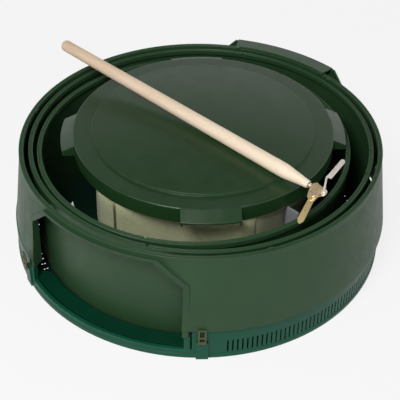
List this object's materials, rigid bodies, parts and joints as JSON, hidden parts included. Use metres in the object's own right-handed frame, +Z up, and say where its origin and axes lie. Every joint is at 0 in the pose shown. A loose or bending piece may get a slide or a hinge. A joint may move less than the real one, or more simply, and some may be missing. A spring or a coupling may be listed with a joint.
{
  "type": "insulated compost bin",
  "caption": "Packed kit of a round insulated composter: rings nested on a slotted base around a folded jacket, with a vented lid and a stirring stick with folding wings.",
  "frame": {"origin": "middle of the base's underside", "axes": "+Z up, -Y to the viewer's side, +X to the viewer's right"},
  "size_m": [0.7855, 0.7954, 0.3318],
  "materials": {
    "base_teal": "moulded, slightly glossy",
    "ring_green": "moulded, fine grain",
    "lid_green": "moulded, satin gloss",
    "loop_brown": "moulded",
    "jacket_olive": "coated cloth",
    "jacket_core": "wadding",
    "jacket_lining": "smooth cloth",
    "jacket_grey": "woven cloth",
    "beech": "bare, sanded",
    "steel": "bright zinc",
    "brass": "dull yellow zinc"
  },
  "bodies": {
    "base": {"base_rim": "base_teal", "base_floor": "base_teal", "sill_plates": "base_teal", "clip_loops": "loop_brown"},
    "lower_ring": {"lower_ring": "ring_green"},
    "hatch_door_rear": {"hatch_door_rear": "ring_green", "hatch_lip_rear": "ring_green"},
    "middle_ring": {"middle_ring": "ring_green"},
    "upper_ring": {"upper_ring": "ring_green"},
    "hatch_door_front": {"hatch_door_front": "ring_green", "hatch_lip_front": "ring_green"},
    "jacket": {"jacket_cover": "jacket_olive", "jacket_core": "jacket_core", "jacket_lining": "jacket_lining", "jacket_flap": "jacket_grey", "jacket_straps": "jacket_grey"},
    "lid": {"lid_cover": "lid_green"},
    "stick": {"stick_handle": "beech", "head_stud": "steel", "head_clevis": "brass", "upper_wing_pin": "steel", "lower_wing_pin": "steel"},
    "upper_wing": {"upper_wing": "steel"},
    "lower_wing": {"lower_wing": "brass"}
  },
  "joints": [
    {"name": "lower_ring_lift", "type": "slide", "parent": "base", "child": "lower_ring", "axis": [0, 0, 1], "range_m": [0, 0.3]},
    {"name": "rear_door_lift", "type": "slide", "parent": "lower_ring", "child": "hatch_door_rear", "axis": [0, 0, 1], "range_m": [0, 0.3]},
    {"name": "middle_ring_lift", "type": "slide", "parent": "lower_ring", "child": "middle_ring", "axis": [0, 0, 1], "range_m": [0, 0.32]},
    {"name": "upper_ring_lift", "type": "slide", "parent": "middle_ring", "child": "upper_ring", "axis": [0, 0, 1], "range_m": [0, 0.32]},
    {"name": "front_door_lift", "type": "slide", "parent": "upper_ring", "child": "hatch_door_front", "axis": [0, 0, 1], "range_m": [0, 0.32]},
    {"name": "jacket_lift", "type": "slide", "parent": "hatch_door_front", "child": "jacket", "axis": [0, 0, 1], "range_m": [0, 0.32]},
    {"name": "lid_lift", "type": "slide", "parent": "jacket", "child": "lid", "axis": [0, 0, 1], "range_m": [0, 0.3]},
    {"name": "stick_lift", "type": "slide", "parent": "lid", "child": "stick", "axis": [0, 0, 1], "range_m": [0, 0.3]},
    {"name": "upper_wing_fold", "type": "hinge", "parent": "stick", "child": "upper_wing", "pos_m": [0.23471, -0.23181, 0.28527], "axis": [-0.2745, -0.3835, 0.8818], "range_deg": [0, 45]},
    {"name": "lower_wing_fold", "type": "hinge", "parent": "stick", "child": "lower_wing", "pos_m": [0.21575, -0.23473, 0.27809], "axis": [0.2745, 0.3835, -0.8818], "range_deg": [0, 60]}
  ]
}
